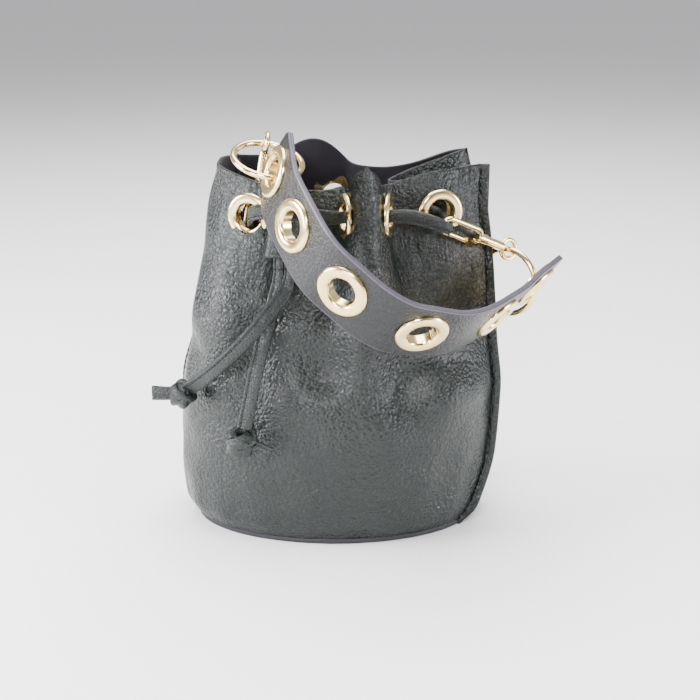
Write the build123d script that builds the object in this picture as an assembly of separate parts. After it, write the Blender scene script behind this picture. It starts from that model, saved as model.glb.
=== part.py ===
from build123d import *
import os
from math import atan2, cos, degrees, radians, sin, tan

# A small drawstring bucket bag in millimetres.
# +Z is up, +X is the side that carries the hanging ring, -Y is the front, and z = 0 is what the bag stands on.

# ---- Driving dimensions ----
LEATHER = 1.6            # thickness of the body leather
RIM_Z = 212.0            # height of the mouth's cut edge
EYELET_Z = 189.0         # height of the row of eyelets below the mouth
BASE_T = 2.2             # thickness of the base panel
SEAM_ANGLE = -8.0        # direction of the two side seams, seen from above

EYELET_HOLE_R = 7.2      # bag eyelets
EYELET_OUTER_R = 13.3
EYELET_RISE = 2.3        # height of the domed flange above the leather
BARREL_T = 0.7
WASHER_T = 0.9
SEAT_GAP = 0.05          # room left between an eyelet and the leather it is set in

STRAP_WIDTH = 40.0
STRAP_LAYER = 1.6        # each of the strap's two layers
STRAP_END = 13.0         # strap beyond its end eyelets
STRAP_HOLE_R = 8.0
STRAP_OUTER_R = 14.6

RING_R = 19.25           # O-rings, to the wire's centre
RING_WIRE_R = 1.75

LACE_R = 2.2             # plain round stand-in for the folded flat lace
SLIDER = (19.0, 9.0, 21.0)
SLIDER_WALL = 1.8

HOOK_WIRE_R = 1.6
HOOK_LOOP = (28.0, 9.0)  # loop length and width, to the wire's centre
HOOK_LENGTH = 52.0       # from the nose to the middle of the swivel eye

os.makedirs("parts", exist_ok=True)


def write(name, shape):
    """Save one named piece."""
    export_step(shape, f"parts/{name}.step")


# ---- Bag body: closed outlines at several heights, lofted ----
# The row of eyelets, going round the mouth from the right side seam by the front to the back:
# x, y, and the direction that the outer face looks in, in degrees from the front towards the right.
EYELETS = {
    "front_right": (56.0, -16.0, 17.0),
    "fold_right": (25.5, -29.0, 80.0),
    "fold_left": (2.0, -29.0, -76.0),
    "front_left": (-52.0, -27.0, -24.0),
    "back_left": (-58.0, 24.0, -148.0),
    "back_middle": (-5.0, 42.0, 184.0),
    "back_fold": (34.0, 30.0, 168.0),
    "back_right": (54.0, 0.0, 172.0),
}
EYELET_FLAT = 12.0       # half length of the flat stretch of leather that each eyelet sits on


def facing(yaw):
    """Level direction at yaw degrees from the front (-Y) towards the right (+X)."""
    return Vector(sin(radians(yaw)), -cos(radians(yaw)), 0)


def eyelet_stretch(name, half=EYELET_FLAT):
    """Two outline points, one at each side of an eyelet, in the order that the outline runs."""
    x, y, yaw = EYELETS[name]
    out = facing(yaw)
    along = Vector(out.Y, -out.X, 0)
    return [(x - along.X * half, y - along.Y * half), (x + along.X * half, y + along.Y * half)]


# Outline of the cinched mouth at the eyelets' height, clockwise from the right side seam.
MOUTH = (
    [(79.5, -3.0)]
    + eyelet_stretch("front_right")
    + eyelet_stretch("fold_right", 9.0)
    + [(13.8, -49.0)]
    + eyelet_stretch("fold_left", 9.0)
    + [(-16.0, -13.0)]
    + eyelet_stretch("front_left")
    + [(-75.0, -6.0)]
    + eyelet_stretch("back_left")
    + [(-33.0, 45.0)]
    + eyelet_stretch("back_middle", 9.0)
    + [(17.0, 35.0)]
    + eyelet_stretch("back_fold", 8.0)
    + [(66.0, 32.0), (78.0, 23.0), (67.0, 14.5), (42.0, 13.5), (30.0, 5.5)]
    + eyelet_stretch("back_right", 10.0)
)

# Lower outlines are ellipses: height, centre x, half width, half depth.
ELLIPSES = [(0.0, -4.0, 83.0, 52.0), (14.0, -5.5, 90.5, 57.0), (45.0, -3.5, 93.5, 60.0), (82.0, -2.0, 93.5, 60.0)]
# Upper outlines mix the mouth with an ellipse: height, mouth's share, and outset from the mouth's outline.
MIXES = [(120.0, 0.22, 7.0), (150.0, 0.66, 5.0), (170.0, 0.94, 3.0), (RIM_Z, 1.0, -3.0)]
UPPER_ELLIPSE = (-1.0, 90.5, 57.0)


def normals(points):
    """Outward level normals of a clockwise outline, from each point's two neighbours."""
    result = []
    for index in range(len(points)):
        before, after = points[index - 1], points[(index + 1) % len(points)]
        along = Vector(after[0] - before[0], after[1] - before[1], 0).normalized()
        result.append(Vector(-along.Y, along.X, 0))
    return result


def shares(points):
    """How far round the outline each point is, from 0 to 1."""
    steps = [Vector(*points[i]).sub(Vector(*points[i - 1])).length for i in range(len(points))]
    total = sum(steps)
    done, result = 0.0, []
    for index in range(len(points)):
        done += steps[index] if index else 0.0
        result.append(done / total)
    return result


MOUTH_NORMALS = normals(MOUTH)
MOUTH_SHARES = shares(MOUTH)
SEAM_START = -12.0       # where the right seam meets the ellipses, in degrees


def on_ellipse(centre_x, half_width, half_depth, share):
    turn = radians(SEAM_START - 360.0 * share)
    return (centre_x + half_width * cos(turn), half_depth * sin(turn))


def outlines(inset):
    """All outlines from the base up, each set in by inset: (height, points)."""
    result = []
    for height, centre_x, half_width, half_depth in ELLIPSES:
        points = [on_ellipse(centre_x, half_width - inset, half_depth - inset, s) for s in MOUTH_SHARES]
        result.append((height, points))
    for height, mouth_share, outset in MIXES:
        points = []
        for (x, y), out, share in zip(MOUTH, MOUTH_NORMALS, MOUTH_SHARES):
            low_x, low_y = on_ellipse(UPPER_ELLIPSE[0], UPPER_ELLIPSE[1], UPPER_ELLIPSE[2], share)
            reach = outset * mouth_share
            points.append((mouth_share * (x + out.X * reach) + (1 - mouth_share) * low_x,
                           mouth_share * (y + out.Y * reach) + (1 - mouth_share) * low_y))
        inward = normals(points)
        points = [(x - n.X * inset, y - n.Y * inset) for (x, y), n in zip(points, inward)]
        result.append((height, points))
    return result


def closed_curve(points, height):
    """Smooth closed wire through an outline's points, anticlockwise so that its face looks up."""
    ordered = [points[0]] + points[:0:-1]
    return Wire([Spline(*[(x, y, height) for x, y in ordered], periodic=True)])


def skin(inset, below=0.0, above=0.0):
    """Solid inside the bag's surface, set in by inset."""
    faces = []
    levels = outlines(inset)
    if below:
        levels.insert(0, (levels[0][0] - below, levels[0][1]))
    if above:
        levels.append((levels[-1][0] + above, levels[-1][1]))
    for height, points in levels:
        faces.append(Face(closed_curve(points, height)))
    return loft(faces, ruled=True)


def eyelet_plane(name):
    x, y, yaw = EYELETS[name]
    out = facing(yaw)
    return Plane(origin=(x, y, EYELET_Z), x_dir=(0, 0, 1), z_dir=(out.X, out.Y, out.Z))


def eyelet_pieces(hole_r, outer_r, rise, sheet):
    """Eyelet and washer about +Z, with the sheet's outer face at z = 0: (eyelet, washer, room to cut)."""
    barrel_r = hole_r + BARREL_T
    bottom = -sheet - WASHER_T - 0.5
    dome_r = (outer_r - hole_r) / 2
    with BuildPart() as eyelet:
        with BuildSketch(Plane.XZ):
            with BuildLine():
                Polyline((hole_r, bottom), (barrel_r, bottom), (barrel_r, SEAT_GAP), (outer_r, SEAT_GAP),
                         (outer_r, 0.7))
                Spline((outer_r, 0.7), (hole_r + dome_r, rise), (hole_r, 0.5), tangents=((-0.4, 1), (-0.3, -1)))
                Line((hole_r, 0.5), (hole_r, bottom))
            make_face()
        revolve(axis=Axis.Z)
    washer = Pos(0, 0, -sheet - SEAT_GAP - WASHER_T / 2) * (
        Cylinder(outer_r, WASHER_T) - Cylinder(barrel_r + 0.02, WASHER_T))
    room = Pos(0, 0, -sheet / 2) * Cylinder(barrel_r + SEAT_GAP, sheet + 14)
    room += Pos(0, 0, 5) * Cylinder(outer_r + 0.3, 10)
    room += Pos(0, 0, -sheet - 4) * Cylinder(outer_r + 0.3, 8)
    return eyelet.part, washer, room


def make_body():
    outer = skin(0.0)
    inner = skin(LEATHER, below=4.0, above=6.0)
    wall = outer - inner
    wall = wall - Pos(0, 0, BASE_T / 2 - 5) * Box(400, 400, BASE_T + 10)
    eyelet, washer, room = eyelet_pieces(EYELET_HOLE_R, EYELET_OUTER_R, EYELET_RISE, LEATHER)
    for name in EYELETS:
        place = eyelet_plane(name)
        wall = wall - place.location * room
        write("bag_eyelet_" + name, place.location * eyelet)
        write("bag_washer_" + name, place.location * washer)
    half = Rot(0, 0, SEAM_ANGLE) * Pos(0, -200, 100) * Box(500, 400, 400)
    write("front_panel", wall & half)
    write("back_panel", wall - half)
    base_points = outlines(0.0)[0][1]
    write("base_panel", extrude(Face(closed_curve(base_points, 0.0)), BASE_T, dir=(0, 0, 1)))


# ---- Lace, its tails and knots ----
# Slider axis: the lace's two ends run side by side down through it.
SLIDER_TOP = Vector(-32.0, -42.5, 193.0)
SLIDER_DOWN = Vector(0.0, -0.17, -0.985).normalized()
LACE_GAP = 2.9           # each end's distance from the slider's axis


def corner_radii(points):
    """Largest comfortable radius at each corner of a route."""
    radii = []
    for before, here, after in zip(points, points[1:], points[2:]):
        run_in, run_out = here - before, after - here
        shorter = min(run_in.length, run_out.length)
        radii.append(0.45 * shorter / tan(radians(run_in.get_angle(run_out) / 2)))
    return radii


def tube(name, route, radius):
    """Round tube along straight runs joined by tangent arcs."""
    points = [Vector(*p) for p in route]
    radii = corner_radii(points)
    path = FilletPolyline(*points, radius=radii)
    start = Plane(origin=points[0], z_dir=points[1] - points[0])
    solid = sweep(start * Circle(radius), path=path)
    print(name, "length", round(path.length, 1), "volume share",
          round(solid.volume / (3.14159265 * radius ** 2 * path.length), 3), "radii", [round(r, 1) for r in radii])
    write(name, solid)
    return solid


def beside(distance, side):
    """Point at a distance down the slider's axis, to the left (-1) or right (+1) of it."""
    p = SLIDER_TOP + SLIDER_DOWN * distance + Vector(side * LACE_GAP, 0, 0)
    return (p.X, p.Y, p.Z)


TAIL_START = 30.0        # where the lace hands over to its tails, below the slider's travel
LACE_ROUTE = [
    beside(TAIL_START, -1), beside(0, -1), (-42.5, -40.5, 194.2), (-50.5, -36.0, 192.5), (-51.5, -28.0, 187.5),
    (-51.3, -20.0, 182.3), (-52.0, -11.5, 178.5), (-57.0, -1.0, 180.0), (-57.0, 11.0, 184.5), (-46.0, 19.0, 188.5),
    (-24.0, 27.0, 189.0), (-8.0, 34.0, 189.0), (-4.5, 45.0, 189.0), (6.0, 51.0, 189.0), (23.0, 48.5, 189.0),
    (34.0, 39.5, 189.0), (34.0, 27.0, 188.5), (27.0, 16.0, 187.5), (22.0, 5.0, 187.0), (29.0, -5.5, 187.5),
    (44.0, -8.0, 188.5), (55.5, -11.5, 187.8), (58.0, -20.6, 185.4), (61.2, -32.4, 181.8), (54.0, -37.4, 186.2),
    (40.0, -31.5, 189.5), (25.0, -29.5, 189.5), (13.0, -28.0, 189.0), (0.0, -29.5, 188.5), (-9.0, -35.0, 189.5),
    (-17.0, -38.0, 191.5), (-24.0, -40.5, 195.5), beside(0, 1), beside(TAIL_START, 1),
]
TAIL_OVER_ROUTE = [
    beside(TAIL_START, 1), beside(TAIL_START + 10, 1), (-38.0, -60.5, 144.0), (-51.0, -65.5, 129.0),
    (-67.0, -60.5, 112.0), (-80.0, -49.5, 99.0), (-88.0, -40.5, 91.0),
]
TAIL_UNDER_ROUTE = [
    beside(TAIL_START, -1), beside(TAIL_START + 10, -1), (-40.0, -55.0, 138.0), (-46.0, -60.5, 116.0),
    (-51.0, -63.5, 94.0), (-54.5, -64.0, 76.0),
]


def knot(name, start, toward, stub_toward):
    """Overhand knot of the folded lace with its short cut end."""
    start, toward, stub = Vector(*start), Vector(*toward), Vector(*stub_toward)
    along = (start - toward).normalized()
    centre = start + along * 7.0
    body = Plane(origin=centre, z_dir=along).location * Cylinder(6.6, 14.0)
    tip = centre + stub.normalized() * 17.0
    end = Plane(origin=(centre + tip) * 0.5, z_dir=stub).location * Cylinder(3.6, (tip - centre).length)
    write(name, body + end)


def make_lace():
    tube("drawstring", LACE_ROUTE, LACE_R)
    tube("lace_tail_over", TAIL_OVER_ROUTE, LACE_R)
    tube("lace_tail_under", TAIL_UNDER_ROUTE, LACE_R)
    knot("knot_over", TAIL_OVER_ROUTE[-1], TAIL_OVER_ROUTE[-2], (-1.0, 0.25, -0.05))
    knot("knot_under", TAIL_UNDER_ROUTE[-1], TAIL_UNDER_ROUTE[-2], (0.92, -0.2, -0.38))


def make_slider():
    width, depth, length = SLIDER
    tube_plane = Plane(origin=SLIDER_TOP + SLIDER_DOWN * 2.0, x_dir=(1, 0, 0), z_dir=SLIDER_DOWN)
    sleeve = extrude(RectangleRounded(width, depth, 4.0), length)
    hollow = extrude(RectangleRounded(width - 2 * SLIDER_WALL, depth - 2 * SLIDER_WALL, 2.6), length)
    write("lace_slider", tube_plane.location * (sleeve - hollow))


# ---- Handle strap ----
# The strap curls in one plane. STRAP_PLANE's z is across the strap's width, and its x runs from end to end.
LEFT_END = Vector(-35.0, -46.0, 216.5)
RIGHT_END = Vector(111.0, -17.0, 146.5)
STRAP_ALONG = (RIGHT_END - LEFT_END).normalized()
STRAP_ACROSS = Vector(0.455, -0.487, 0.746)
STRAP_ACROSS = (STRAP_ACROSS - STRAP_ALONG * STRAP_ACROSS.dot(STRAP_ALONG)).normalized()
STRAP_CORNER = 14.0      # rounding of the two end corners nearer to the bag
STRAP_PLANE = Plane(origin=LEFT_END, x_dir=STRAP_ALONG, z_dir=STRAP_ACROSS)
# Eyelet centres along the strap, in that plane, with the strap's direction at each, in degrees.
STRAP_EYELETS = [(0.0, 0.0, -78.0), (14.7, -34.0, -57.0), (46.0, -65.0, -28.0), (92.0, -71.5, 17.0),
                 (137.5, -37.5, 51.0), (163.5, 0.0, 55.0)]


def strap_corners():
    """Corners of the strap's centre line: its two ends, and where its straight runs cross."""
    runs = [(Vector(x, y), Vector(cos(radians(a)), sin(radians(a)))) for x, y, a in STRAP_EYELETS]
    corners = [runs[0][0] - runs[0][1] * STRAP_END]
    for (p, d), (q, e) in zip(runs, runs[1:]):
        reach = ((q.X - p.X) * e.Y - (q.Y - p.Y) * e.X) / (d.X * e.Y - d.Y * e.X)
        corners.append(p + d * reach)
    corners.append(runs[-1][0] + runs[-1][1] * STRAP_END)
    return corners


def strap_layer(line, low, high):
    """One layer between two distances outside the centre line. Outside is the strap's lower, outer face."""
    edges = [offset_2d_line(line, low), offset_2d_line(line, high)]
    joins = [Line(edges[0] @ 0, edges[1] @ 0), Line(edges[0] @ 1, edges[1] @ 1)]
    face = make_face(edges[0].edges() + edges[1].edges() + [join.edge() for join in joins])
    return extrude(face, STRAP_WIDTH / 2, both=True, dir=(0, 0, 1))


def offset_2d_line(corners, distance):
    """The strap's line moved to its right by distance, with its arcs about the same centres."""
    moved = []
    directions = [(b - a).normalized() for a, b in zip(corners, corners[1:])]
    for index, corner in enumerate(corners):
        before = directions[max(index - 1, 0)]
        after = directions[min(index, len(directions) - 1)]
        bisector = (Vector(before.Y, -before.X) + Vector(after.Y, -after.X)).normalized()
        lean = cos(radians(before.get_angle(after) / 2))
        moved.append(corner + bisector * (distance / lean))
    radii = [r + distance for r in strap_radii(corners)]
    return FilletPolyline(*[(p.X, p.Y) for p in moved], radius=radii)


def strap_radii(corners):
    radii = []
    for before, here, after in zip(corners, corners[1:], corners[2:]):
        shorter = min((here - before).length, (after - here).length)
        radii.append(0.36 * shorter / tan(radians((here - before).get_angle(after - here) / 2)))
    return radii


def round_corner(end, heading):
    """What is cut off one corner of the strap's end, on the side that lies nearer to the bag."""
    block = Box(STRAP_CORNER * 2, STRAP_CORNER * 2, 12.0)
    block -= Pos(-STRAP_CORNER, STRAP_CORNER, 0) * Cylinder(STRAP_CORNER, 12.0)
    block &= Pos(-STRAP_CORNER / 2 + 1, STRAP_CORNER / 2 - 1, 0) * Box(STRAP_CORNER + 2, STRAP_CORNER + 2, 12.0)
    out = Vector(heading.Y, -heading.X)
    seat = Plane(origin=(end.X, end.Y, -STRAP_WIDTH / 2), x_dir=(heading.X, heading.Y, 0), z_dir=(out.X, out.Y, 0))
    turned = seat.location * block
    if seat.y_dir.Z < 0:
        turned = seat.location * (Rot(180, 0, 0) * block)
    return turned


def make_strap():
    corners = strap_corners()
    outer = strap_layer(corners, 0.0, STRAP_LAYER)
    inner = strap_layer(corners, -STRAP_LAYER, 0.0)
    for end, before in ((corners[0], corners[1]), (corners[-1], corners[-2])):
        cutter = round_corner(end, (end - before).normalized())
        outer -= cutter
        inner -= cutter
    eyelet, washer, room = eyelet_pieces(STRAP_HOLE_R, STRAP_OUTER_R, EYELET_RISE, 2 * STRAP_LAYER)
    for index, (x, y, angle) in enumerate(STRAP_EYELETS):
        out = Vector(sin(radians(angle)), -cos(radians(angle)))
        seat = Plane(origin=(x + out.X * STRAP_LAYER, y + out.Y * STRAP_LAYER, 0), x_dir=(0, 0, 1),
                     z_dir=(out.X, out.Y, 0))
        outer -= seat.location * room
        inner -= seat.location * room
        write(f"strap_eyelet_{index + 1}", STRAP_PLANE.location * seat.location * eyelet)
        write(f"strap_washer_{index + 1}", STRAP_PLANE.location * seat.location * washer)
    write("strap_outer", STRAP_PLANE.location * outer)
    write("strap_inner", STRAP_PLANE.location * inner)


# ---- O-rings ----
RIGHT_RING = Plane(origin=(97.0, -3.5, 145.5), x_dir=(0.766, -0.643, 0), z_dir=(0.643, 0.766, 0))
LEFT_RING = Plane(origin=(-41.0, -27.5, 220.5), x_dir=(0.977, 0.0, -0.213), z_dir=(0.2, -0.32, 0.92))


def ring_point(ring, angle):
    """Point on a ring's wire, at an angle round the ring in degrees."""
    return ring.from_local_coords((RING_R * cos(radians(angle)), RING_R * sin(radians(angle)), 0))


def ring_run(ring, angle):
    """Direction of a ring's wire at an angle round the ring."""
    return ring.x_dir * -sin(radians(angle)) + ring.y_dir * cos(radians(angle))


def make_rings():
    write("right_ring", RIGHT_RING.location * Torus(RING_R, RING_WIRE_R))
    write("left_ring", LEFT_RING.location * Torus(RING_R, RING_WIRE_R))


# ---- Snap hooks ----
# Each lies on a line from its nose to the middle of its swivel eye. In its own frame x runs from nose to eye,
# the loop lies in x and y, and the gate is the side at -y.
EYE_R = 5.5              # swivel eye, to its wire's centre
EYE_WIRE_R = 1.4
POST_R = 1.2
COLLAR_R = 3.2
COLLAR = (HOOK_LOOP[0] - 0.5, HOOK_LOOP[0] + 5.0)
GATE_PIN_X = 23.0
GATE_TIP_X = 7.5
GATE_R = 1.3
PIN_R = 0.6
RUNNING = 0.05           # radial clearance of what turns
EAR_X = (19.9, 26.0)     # block that holds the gate's pin


def hook_plane(eye, toward, look):
    """Frame of a hook from its eye's middle, the direction from its nose to its eye, and the way it faces."""
    along = Vector(*toward).normalized()
    nose = Vector(*eye) - along * HOOK_LENGTH
    out = Vector(*look)
    out = (out - along * out.dot(along)).normalized()
    return Plane(origin=nose, x_dir=along, z_dir=out)


HOOKS = {
    "right": hook_plane(ring_point(RIGHT_RING, -90.0), (45.5, 29.0, -23.0), (0.3, -0.9, -0.35)),
    "left": hook_plane(ring_point(LEFT_RING, 100.0), (9.0, 9.0, 50.0), (0.2, -0.92, 0.32)),
}
# Which way each ring's wire runs through its eye.
WIRE_RUNS = {"right": ring_run(RIGHT_RING, -90.0), "left": ring_run(LEFT_RING, 100.0)}


def make_hook(side, place):
    run = WIRE_RUNS[side]
    eye_turn = degrees(atan2(run.dot(place.z_dir), run.dot(place.y_dir)))
    loop_x, loop_y = HOOK_LOOP[0], HOOK_LOOP[1] / 2
    gate_y = -loop_y
    path = (Line((GATE_TIP_X - 1.2, gate_y), (loop_y, gate_y))
            + ThreePointArc((loop_y, gate_y), (0, 0), (loop_y, loop_y))
            + Line((loop_y, loop_y), (loop_x - loop_y, loop_y))
            + ThreePointArc((loop_x - loop_y, loop_y), (loop_x, 0), (loop_x - loop_y, gate_y)))
    start = Plane(origin=(GATE_TIP_X - 1.2, gate_y, 0), z_dir=(-1, 0, 0))
    frame = sweep(start * Circle(HOOK_WIRE_R), path=path)
    collar = Pos((COLLAR[0] + COLLAR[1]) / 2, 0, 0) * Rot(0, 90, 0) * Cylinder(COLLAR_R, COLLAR[1] - COLLAR[0])
    ear = Pos((EAR_X[0] + EAR_X[1]) / 2, gate_y, 0) * Box(EAR_X[1] - EAR_X[0], 3.6, 4.6)
    slot = Pos(GATE_PIN_X - 1.0, gate_y, 0) * Box(8.0, 8.0, 1.7)
    pin = Pos(GATE_PIN_X, gate_y, 0) * Cylinder(PIN_R, 4.6)
    post_hole = Pos(COLLAR[0] + 3, 0, 0) * Rot(0, 90, 0) * Cylinder(POST_R + RUNNING, 14)
    frame = frame + collar + ear - slot - pin - post_hole
    # Gate: a bar with a thin tongue that turns on the pin in the block's slot.
    bar_length = EAR_X[0] - 0.3 - GATE_TIP_X
    gate = Pos(GATE_TIP_X + bar_length / 2, gate_y, 0) * Rot(0, 90, 0) * Cylinder(GATE_R, bar_length)
    tongue_start = GATE_TIP_X + bar_length / 2
    gate += Pos((tongue_start + GATE_PIN_X) / 2, gate_y, 0) * Box(GATE_PIN_X - tongue_start, 2.4, 1.3)
    gate += Pos(GATE_PIN_X, gate_y, 0) * Cylinder(1.2, 1.3)
    gate -= Pos(GATE_PIN_X, gate_y, 0) * Cylinder(PIN_R + RUNNING, 4)
    # Spring: a small leaf behind the tongue's round heel.
    leaf = Pos(GATE_PIN_X + 1.9, gate_y, 0) * Box(0.4, 2.6, 1.3)
    # Swivel: an eye on a hub, with a rivet through the collar.
    eye = Pos(HOOK_LENGTH, 0, 0) * Rot(eye_turn, 0, 0) * Rot(90, 0, 0) * Torus(EYE_R, EYE_WIRE_R)
    hub_low, hub_high = COLLAR[1] + 0.2, HOOK_LENGTH - EYE_R + 0.3
    eye += Pos((hub_low + hub_high) / 2, 0, 0) * Rot(0, 90, 0) * Cylinder(2.7, hub_high - hub_low)
    shaft_low = COLLAR[0] - 0.1
    shaft_high = hub_low + 4.0
    rivet = Pos((shaft_low + shaft_high) / 2, 0, 0) * Rot(0, 90, 0) * Cylinder(POST_R, shaft_high - shaft_low)
    rivet += Pos(shaft_low - 0.4, 0, 0) * Rot(0, 90, 0) * Cylinder(2.2, 0.8)
    head_room = Pos(shaft_low - 1.5, 0, 0) * Rot(0, 90, 0) * Cylinder(2.4, 3.2)
    frame -= head_room
    eye -= Pos((hub_low + shaft_high) / 2, 0, 0) * Rot(0, 90, 0) * Cylinder(POST_R, shaft_high - hub_low)
    pieces = {"frame": frame, "gate": gate, "gate_pin": pin, "gate_spring": leaf, "swivel_eye": eye,
              "swivel_rivet": rivet}
    for piece, shape in pieces.items():
        write(f"{side}_hook_{piece}", place.location * shape)
    for label, x in (("gate pin", GATE_PIN_X), ("eye", HOOK_LENGTH)):
        y = gate_y if label == "gate pin" else 0
        point = place.from_local_coords((x, y, 0))
        print(side, label, "at", [round(v, 3) for v in (point.X, point.Y, point.Z)])
    print(side, "hook axis", [round(v, 5) for v in (place.x_dir.X, place.x_dir.Y, place.x_dir.Z)],
          "loop normal", [round(v, 5) for v in (place.z_dir.X, place.z_dir.Y, place.z_dir.Z)])


make_body()
make_lace()
make_slider()
make_strap()
make_rings()
for hook_side, hook_place in HOOKS.items():
    make_hook(hook_side, hook_place)
print("strap swing axis through", STRAP_PLANE.origin, STRAP_PLANE.x_dir)
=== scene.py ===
"""Looks of a small drawstring bucket bag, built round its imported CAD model.

Lengths are millimetres, apart from the lights, the camera and the materials, which are in metres.
"""

import math

import bmesh
import bpy
import numpy as np
from mathutils import Matrix, Vector


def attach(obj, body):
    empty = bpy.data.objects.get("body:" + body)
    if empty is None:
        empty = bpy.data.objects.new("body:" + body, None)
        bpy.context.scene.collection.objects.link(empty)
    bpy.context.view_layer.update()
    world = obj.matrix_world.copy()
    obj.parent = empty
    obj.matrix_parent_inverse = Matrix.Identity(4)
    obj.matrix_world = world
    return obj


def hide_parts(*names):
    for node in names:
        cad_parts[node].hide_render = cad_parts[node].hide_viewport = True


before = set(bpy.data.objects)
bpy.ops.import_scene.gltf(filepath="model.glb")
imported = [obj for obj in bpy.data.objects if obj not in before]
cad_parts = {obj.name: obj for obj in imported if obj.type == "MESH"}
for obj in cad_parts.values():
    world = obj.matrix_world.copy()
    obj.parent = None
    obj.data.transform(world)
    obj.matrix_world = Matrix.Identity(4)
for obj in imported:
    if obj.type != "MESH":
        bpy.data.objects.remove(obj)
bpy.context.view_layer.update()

MM = 0.001

# ---- Body surface: the same outlines as the CAD walls, smoothed in height ----
EYELET_Z = 189.0
EYELETS = {
    "front_right": (56.0, -16.0, 17.0),
    "fold_right": (25.5, -29.0, 80.0),
    "fold_left": (2.0, -29.0, -76.0),
    "front_left": (-52.0, -27.0, -24.0),
    "back_left": (-58.0, 24.0, -148.0),
    "back_middle": (-5.0, 42.0, 184.0),
    "back_fold": (34.0, 30.0, 168.0),
    "back_right": (54.0, 0.0, 172.0),
}
HOLE_RADIUS, HOLE_REACH = 9.0, 8.0  # what is cut away inside a barrel, and how far to each side
SEAT_RADIUS, SEAT_FADE = 17.5, 4.0  # the leather lies flat this far round an eyelet's centre
LEATHER = 1.6
SEAM_START = -12.0
MEAN_RIM = 212.0


def stretch(name, half=12.0):
    """Outline points at both sides of an eyelet."""
    x, y, yaw = EYELETS[name]
    out = (math.sin(math.radians(yaw)), -math.cos(math.radians(yaw)))
    along = (out[1], -out[0])
    return [(x - along[0] * half, y - along[1] * half), (x + along[0] * half, y + along[1] * half)]


MOUTH = np.array(
    [(79.5, -3.0), (76.0, -7.0)] + stretch("front_right") + stretch("fold_right", 9.0) + [(13.8, -49.0)]
    + stretch("fold_left", 9.0) + [(-16.0, -13.0)] + stretch("front_left") + [(-75.0, -6.0)]
    + stretch("back_left") + [(-33.0, 45.0)] + stretch("back_middle", 9.0) + [(17.0, 35.0)]
    + stretch("back_fold", 8.0) + [(66.0, 32.0), (78.0, 23.0), (67.0, 14.5), (42.0, 13.5), (30.0, 5.5)]
    + stretch("back_right", 10.0) + [(75.5, -2.4)])
# Height of the cut edge at each of those points: it dips where the leather is drawn in.
RIM = np.array([
    214.5, 214.5, 213.5, 211.0, 205.5, 211.0, 219.0, 214.0, 204.0, 201.0, 207.0, 212.0, 216.0, 217.0, 216.0,
    217.0, 223.0, 211.0, 208.0, 208.0, 211.0, 218.0, 220.0, 218.0, 209.0, 204.0, 207.0, 212.0, 214.0])
LEVELS = np.array([0.0, 14.0, 45.0, 82.0, 120.0, 150.0, 170.0, 189.0, 212.0, 232.0])
SHARE = np.array([0.0, 0.0, 0.0, 0.0, 0.22, 0.66, 0.94, 1.0, 1.0, 1.0])
REACH = np.array([0.0, 0.0, 0.0, 7.0, 7.0, 5.0, 3.0, 0.0, -3.0, -6.0])
CENTRE = np.array([-4.0, -5.5, -3.5, -2.0, -1.0, -1.0, -1.0, -1.0, -1.0, -1.0])
HALF_WIDTH = np.array([83.0, 90.5, 93.5, 93.5, 90.5, 90.5, 90.5, 90.5, 90.5, 90.5])
HALF_DEPTH = np.array([52.0, 57.0, 60.0, 60.0, 57.0, 57.0, 57.0, 57.0, 57.0, 57.0])


def table(x, xs, ys):
    """Smooth monotone curve through a table."""
    h = np.diff(xs)
    d = np.diff(ys) / h
    m = np.zeros(len(xs))
    m[1:-1] = np.where(d[:-1] * d[1:] > 0, 2 * d[:-1] * d[1:] / (d[:-1] + d[1:] + 1e-12), 0)
    m[0], m[-1] = d[0], d[-1]
    k = np.clip(np.searchsorted(xs, x) - 1, 0, len(h) - 1)
    t = (x - xs[k]) / h[k]
    return (ys[k] * (1 + 2 * t) * (1 - t) ** 2 + h[k] * m[k] * t * (1 - t) ** 2
            + ys[k + 1] * t * t * (3 - 2 * t) + h[k] * m[k + 1] * t * t * (t - 1))


class ClosedCurve:
    """Smooth closed curve through values, with a knot position for each."""

    def __init__(self, values, knots):
        self.y = np.vstack([values, values[:1]])
        self.x = np.append(knots, 1.0)
        n = len(values)
        h = np.diff(self.x)
        a = np.zeros((n, n))
        b = np.zeros((n, values.shape[1]))
        for i in range(n):
            before, after = h[i - 1], h[i]
            a[i, i - 1] += 1 / before
            a[i, i] += 2 * (1 / before + 1 / after)
            a[i, (i + 1) % n] += 1 / after
            b[i] = 3 * ((self.y[i] - self.y[i - 1 if i else n - 1]) / before ** 2
                        + (self.y[i + 1] - self.y[i]) / after ** 2)
        slope = np.linalg.solve(a, b)
        self.m = np.vstack([slope, slope[:1]])

    def __call__(self, u):
        u = np.mod(u, 1.0)
        k = np.clip(np.searchsorted(self.x, u, side="right") - 1, 0, len(self.x) - 2)
        h = (self.x[k + 1] - self.x[k])[:, None]
        t = (u - self.x[k])[:, None] / h
        return (self.y[k] * (1 + 2 * t) * (1 - t) ** 2 + h * self.m[k] * t * (1 - t) ** 2
                + self.y[k + 1] * t * t * (3 - 2 * t) + h * self.m[k + 1] * t * t * (t - 1))


steps = np.linalg.norm(MOUTH - np.roll(MOUTH, 1, 0), axis=1)
KNOTS = np.concatenate([[0.0], np.cumsum(steps[1:])]) / steps.sum()
GIRTH = steps.sum()
mouth_curve = ClosedCurve(MOUTH, KNOTS)
rim_curve = ClosedCurve(RIM[:, None], KNOTS)
# The left seam is a little behind the outline's leftmost point.
LEFT_SEAM = KNOTS[int(np.argmin(MOUTH[:, 0])) + 1] + 0.012

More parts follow.
